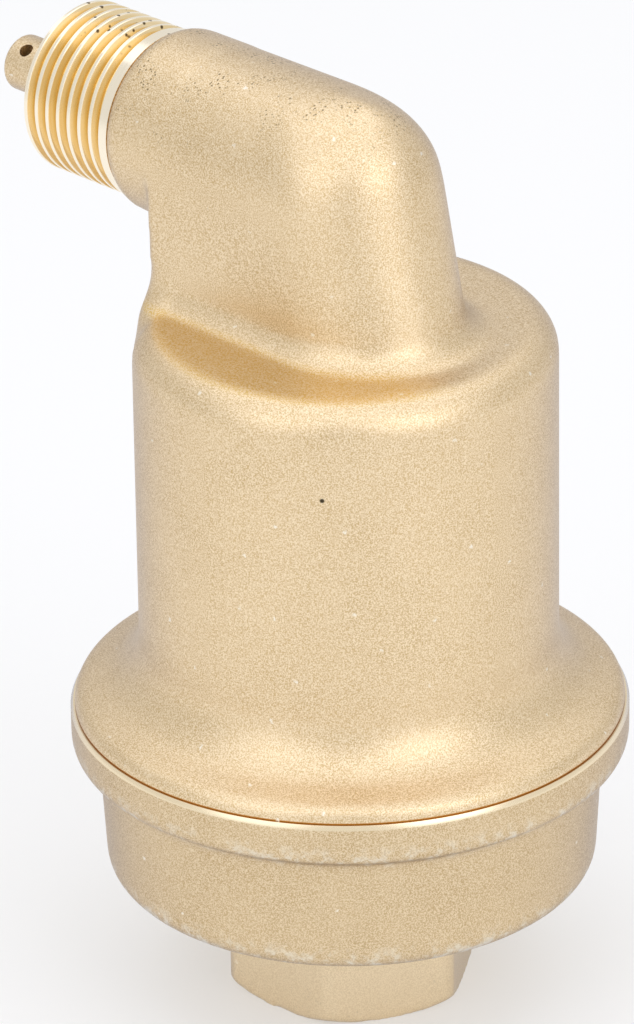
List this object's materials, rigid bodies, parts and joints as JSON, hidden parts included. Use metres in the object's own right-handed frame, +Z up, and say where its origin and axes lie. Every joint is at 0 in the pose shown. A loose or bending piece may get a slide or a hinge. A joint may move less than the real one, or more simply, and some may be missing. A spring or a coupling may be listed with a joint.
{
  "type": "air release valve",
  "caption": "Float-operated air release valve in cast brass: round body on a flanged cup with a hexagon inlet, and a threaded side spout with a vent nipple.",
  "frame": {"origin": "below the middle of the bounding box, at the height of the inlet hexagon's end face", "axes": "+Z up along the vessel's axis, -X along the spout, y = 0 is the plane of the mechanism"},
  "size_m": [0.0876, 0.0672, 0.1161],
  "materials": {
    "blasted_brass": "cast and grit blasted",
    "blasted_brass_lower": "turned, then grit blasted",
    "turned_brass": "machined",
    "stainless_steel": "brushed",
    "seal_rubber": "matte",
    "float_plastic": "moulded",
    "acetal": "moulded"
  },
  "bodies": {
    "housing": {"upper_housing": "blasted_brass", "lower_housing": "blasted_brass_lower", "body_seal_ring": "seal_rubber", "baffle_plate": "stainless_steel", "rod_guide_bush": "acetal", "valve_seat": "turned_brass", "seat_seal_ring": "seal_rubber", "lever_bracket": "stainless_steel", "pivot_pin": "stainless_steel", "pivot_pin_clip": "stainless_steel"},
    "float": {"float_shell": "float_plastic", "float_lid": "float_plastic", "float_rod": "stainless_steel", "float_rod_clip": "stainless_steel", "float_washer": "stainless_steel", "float_nut": "turned_brass", "float_yoke": "acetal", "link_pin": "stainless_steel", "link_pin_clip": "stainless_steel"},
    "lever": {"valve_lever": "turned_brass", "seal_pad": "seal_rubber"}
  },
  "joints": [
    {"name": "float_lift", "type": "slide", "parent": "housing", "child": "float", "axis": [0, 0, 1], "range_m": [0, 0.00546]},
    {"name": "lever_pivot", "type": "hinge", "parent": "housing", "child": "lever", "pos_m": [-0.00483, 0, 0.09275], "axis": [0, -1, 0], "range_deg": [0, 20]}
  ],
  "couplings": [
    {"joint": "lever_pivot", "follows": "float_lift", "rad_per_m": 63.93}
  ]
}
